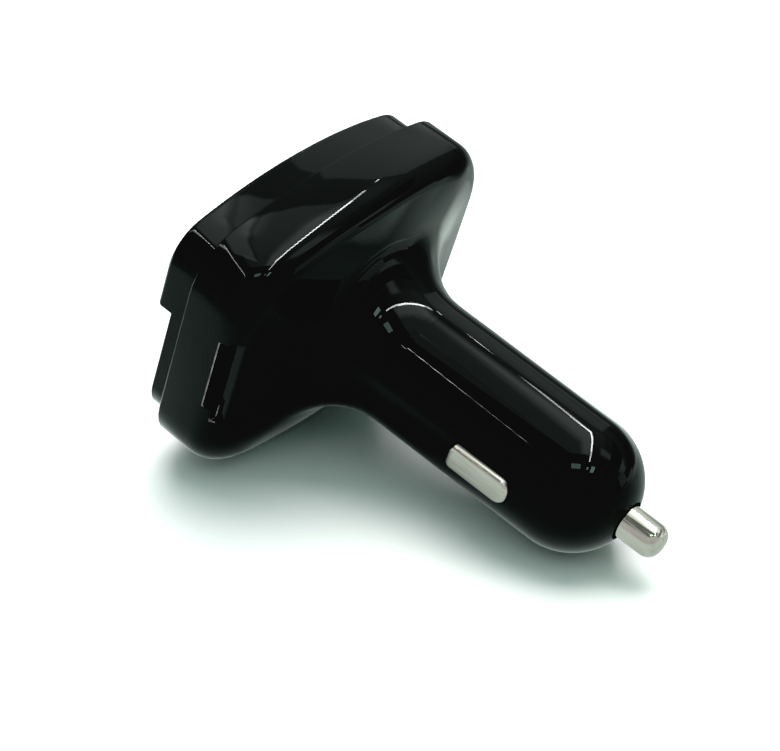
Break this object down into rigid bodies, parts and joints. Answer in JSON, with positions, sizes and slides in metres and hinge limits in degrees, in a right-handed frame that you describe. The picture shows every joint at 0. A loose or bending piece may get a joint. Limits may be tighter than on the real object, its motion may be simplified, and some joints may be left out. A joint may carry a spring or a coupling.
{
  "type": "car fm transmitter",
  "caption": "Car FM transmitter: a flared head with raised band, display, keys, USB sockets and card slot, on a round plug with a sprung centre pin and side contacts.",
  "frame": {"origin": "on the plug's axis where the straight barrel leaves the head's flare", "axes": "+Y along the plug's axis from the head to the centre pin, +Z towards the raised band's side of the head, +X towards the card slot"},
  "size_m": [0.0552, 0.074, 0.0432],
  "materials": {
    "housing": "gloss black",
    "bezel": "gloss black",
    "window": "smoked gloss",
    "display": "matte",
    "keys": "gloss black",
    "plunger": "matte",
    "black_plastic": "matte",
    "sheet_metal": "satin",
    "tongue": "matte",
    "gold": "plated",
    "board": "satin",
    "steel": "satin",
    "chip": "matte",
    "ferrite": "matte",
    "capacitor": "gloss",
    "nickel": "bright nickel",
    "brass": "satin"
  },
  "bodies": {
    "housing": {"rear_housing": "housing", "front_bezel": "bezel", "display_window": "window", "display_module": "display", "switch_previous": "black_plastic", "switch_call": "black_plastic", "switch_next": "black_plastic", "header_strip": "black_plastic", "card_socket": "black_plastic", "usb_shell_left": "sheet_metal", "usb_shell_right": "sheet_metal", "card_cover": "sheet_metal", "crystal": "sheet_metal", "microphone": "sheet_metal", "usb_tongue_left": "tongue", "usb_tongue_right": "tongue", "usb_contacts_left": "gold", "usb_contacts_right": "gold", "header_pins": "gold", "main_board": "board", "power_board": "board", "board_screws": "steel", "bluetooth_chip": "chip", "memory_chip": "chip", "regulator_chip": "chip", "diode": "chip", "inductor": "ferrite", "input_capacitor": "capacitor", "output_capacitor": "capacitor", "pin_spring": "steel", "spring_seat": "brass"},
    "pin": {"centre_pin": "nickel"},
    "contact_left": {"side_contact_left": "nickel"},
    "contact_right": {"side_contact_right": "nickel"},
    "previous_key": {"key_previous": "keys", "plunger_previous": "plunger"},
    "call_key": {"key_call": "keys", "plunger_call": "plunger"},
    "next_key": {"key_next": "keys", "plunger_next": "plunger"}
  },
  "joints": [
    {"name": "pin_slide", "type": "slide", "parent": "housing", "child": "pin", "axis": [0, -1, 0], "range_m": [0, 0.0035], "stiffness_N_per_m": 600, "springref_m": -0.004, "deforming": ["pin_spring"]},
    {"name": "contact_left_slide", "type": "slide", "parent": "housing", "child": "contact_left", "axis": [1, 0, 0], "range_m": [0, 0.0008], "stiffness_N_per_m": 3000, "springref_m": -0.0005},
    {"name": "contact_right_slide", "type": "slide", "parent": "housing", "child": "contact_right", "axis": [-1, 0, 0], "range_m": [0, 0.0008], "stiffness_N_per_m": 3000, "springref_m": -0.0005},
    {"name": "previous_key_press", "type": "slide", "parent": "housing", "child": "previous_key", "axis": [0, 1, 0], "range_m": [0, 0.0003], "stiffness_N_per_m": 4000, "springref_m": -0.0001},
    {"name": "call_key_press", "type": "slide", "parent": "housing", "child": "call_key", "axis": [0, 1, 0], "range_m": [0, 0.0003], "stiffness_N_per_m": 4000, "springref_m": -0.0001},
    {"name": "next_key_press", "type": "slide", "parent": "housing", "child": "next_key", "axis": [0, 1, 0], "range_m": [0, 0.0003], "stiffness_N_per_m": 4000, "springref_m": -0.0001}
  ]
}
